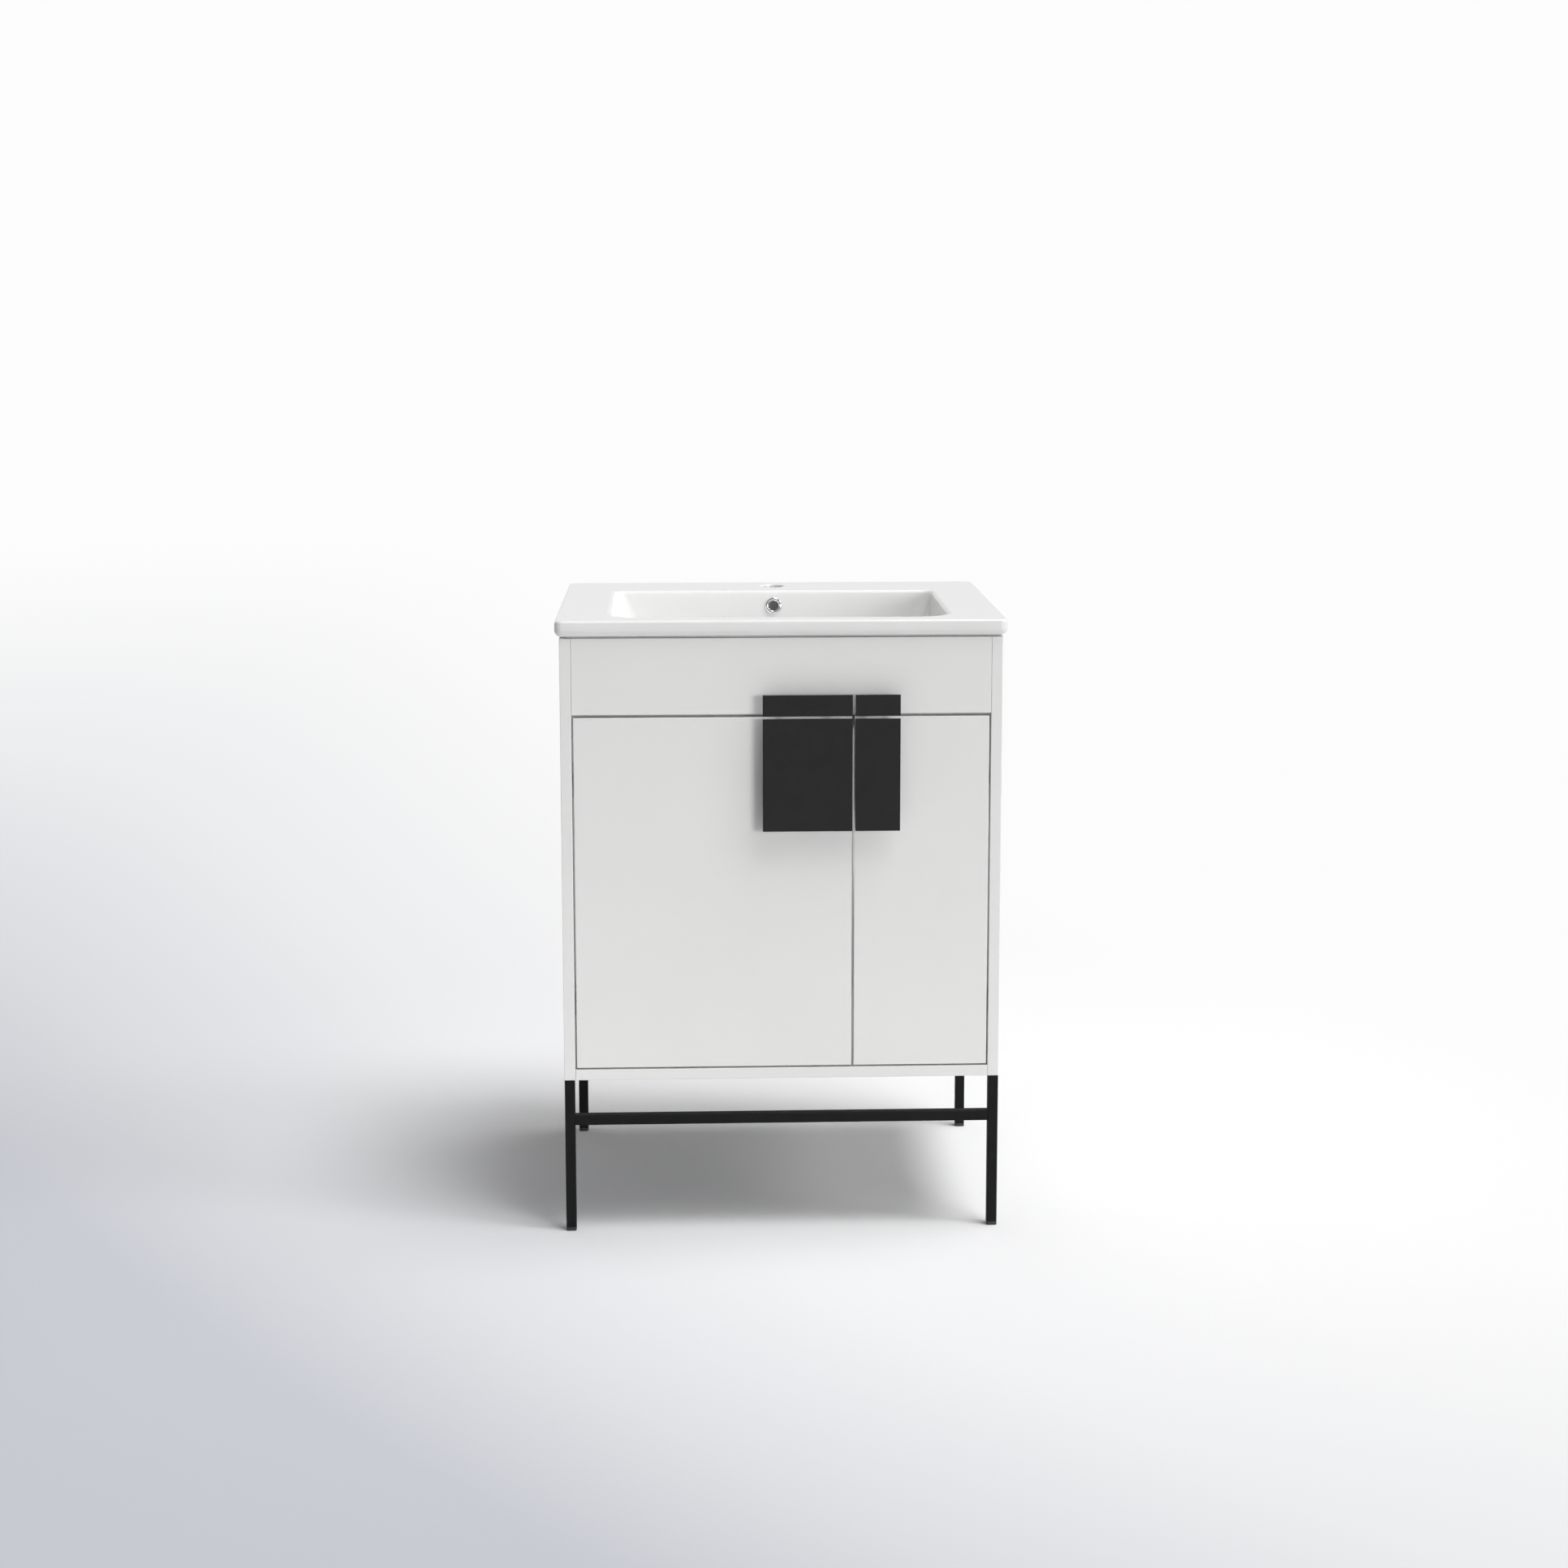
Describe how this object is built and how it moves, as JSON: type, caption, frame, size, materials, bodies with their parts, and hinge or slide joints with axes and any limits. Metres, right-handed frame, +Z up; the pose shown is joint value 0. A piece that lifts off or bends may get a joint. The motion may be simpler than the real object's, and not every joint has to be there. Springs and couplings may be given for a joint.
{
  "type": "bathroom vanity cabinet",
  "caption": "Ceramic basin top on a white cabinet with unequal inset doors, a square of black handle plates across their gaps, and a black steel leg frame.",
  "frame": {"origin": "on the floor under the middle of the whole box, which runs from the handle plates' fronts to the backs of the sink and cabinet", "axes": "+X to the right as seen from the front, +Y from the front to the back, +Z up"},
  "size_m": [0.61, 0.485, 0.85],
  "materials": {
    "glazed_ceramic": "clear gloss glaze",
    "chrome_ring": "mirror polish",
    "silicone_bead": "smooth sealant",
    "white_lacquer": "white satin lacquer on fibreboard",
    "beech_dowel": "bare fluted beech",
    "black_handle": "matt black powder coat",
    "zinc_screws": "zinc plated",
    "black_frame": "matt black powder coat",
    "black_plastic": "fine-textured",
    "clear_rubber": "soft clear",
    "nickel_hinge": "nickel plated"
  },
  "bodies": {
    "cabinet": {"sink_top": "glazed_ceramic", "overflow_ring": "chrome_ring", "sink_seal": "silicone_bead", "left_side_panel": "white_lacquer", "right_side_panel": "white_lacquer", "bottom_panel": "white_lacquer", "front_fascia": "white_lacquer", "door_stop_rail": "white_lacquer", "back_top_rail": "white_lacquer", "back_bottom_rail": "white_lacquer", "back_panel": "white_lacquer", "panel_dowels": "beech_dowel", "upper_left_handle_plate": "black_handle", "upper_right_handle_plate": "black_handle", "fascia_handle_posts": "black_handle", "fascia_post_screws": "zinc_screws", "front_crossbar": "black_frame", "rear_crossbar": "black_frame", "wood_screws": "zinc_screws", "hinge_arm_screws": "zinc_screws", "front_left_leg": "black_frame", "front_left_leg_plate": "black_frame", "front_left_foot_cap": "black_plastic", "front_right_leg": "black_frame", "front_right_leg_plate": "black_frame", "front_right_foot_cap": "black_plastic", "rear_left_leg": "black_frame", "rear_left_leg_plate": "black_frame", "rear_left_foot_cap": "black_plastic", "rear_right_leg": "black_frame", "rear_right_leg_plate": "black_frame", "rear_right_foot_cap": "black_plastic", "lower_left_hinge_arm": "nickel_hinge", "lower_left_hinge_base": "nickel_hinge", "upper_left_hinge_arm": "nickel_hinge", "upper_left_hinge_base": "nickel_hinge", "lower_right_hinge_arm": "nickel_hinge", "lower_right_hinge_base": "nickel_hinge", "upper_right_hinge_arm": "nickel_hinge", "upper_right_hinge_base": "nickel_hinge"},
    "left_door": {"left_door": "white_lacquer", "left_door_handle_plate": "black_handle", "left_door_handle_posts": "black_handle", "left_door_post_screws": "zinc_screws", "left_door_bumpers": "clear_rubber", "left_hinge_cup_screws": "zinc_screws", "lower_left_hinge_cup": "nickel_hinge", "lower_left_hinge_pin": "nickel_hinge", "upper_left_hinge_cup": "nickel_hinge", "upper_left_hinge_pin": "nickel_hinge"},
    "right_door": {"right_door": "white_lacquer", "right_door_handle_plate": "black_handle", "right_door_handle_posts": "black_handle", "right_door_post_screws": "zinc_screws", "right_door_bumpers": "clear_rubber", "right_hinge_cup_screws": "zinc_screws", "lower_right_hinge_cup": "nickel_hinge", "lower_right_hinge_pin": "nickel_hinge", "upper_right_hinge_cup": "nickel_hinge", "upper_right_hinge_pin": "nickel_hinge"}
  },
  "joints": [
    {"name": "left_door_hinge", "type": "hinge", "parent": "cabinet", "child": "left_door", "pos_m": [-0.2641, -0.2145, 0.47525], "axis": [0, 0, -1], "range_deg": [0, 100]},
    {"name": "right_door_hinge", "type": "hinge", "parent": "cabinet", "child": "right_door", "pos_m": [0.2641, -0.2145, 0.47525], "axis": [0, 0, 1], "range_deg": [0, 100]}
  ]
}
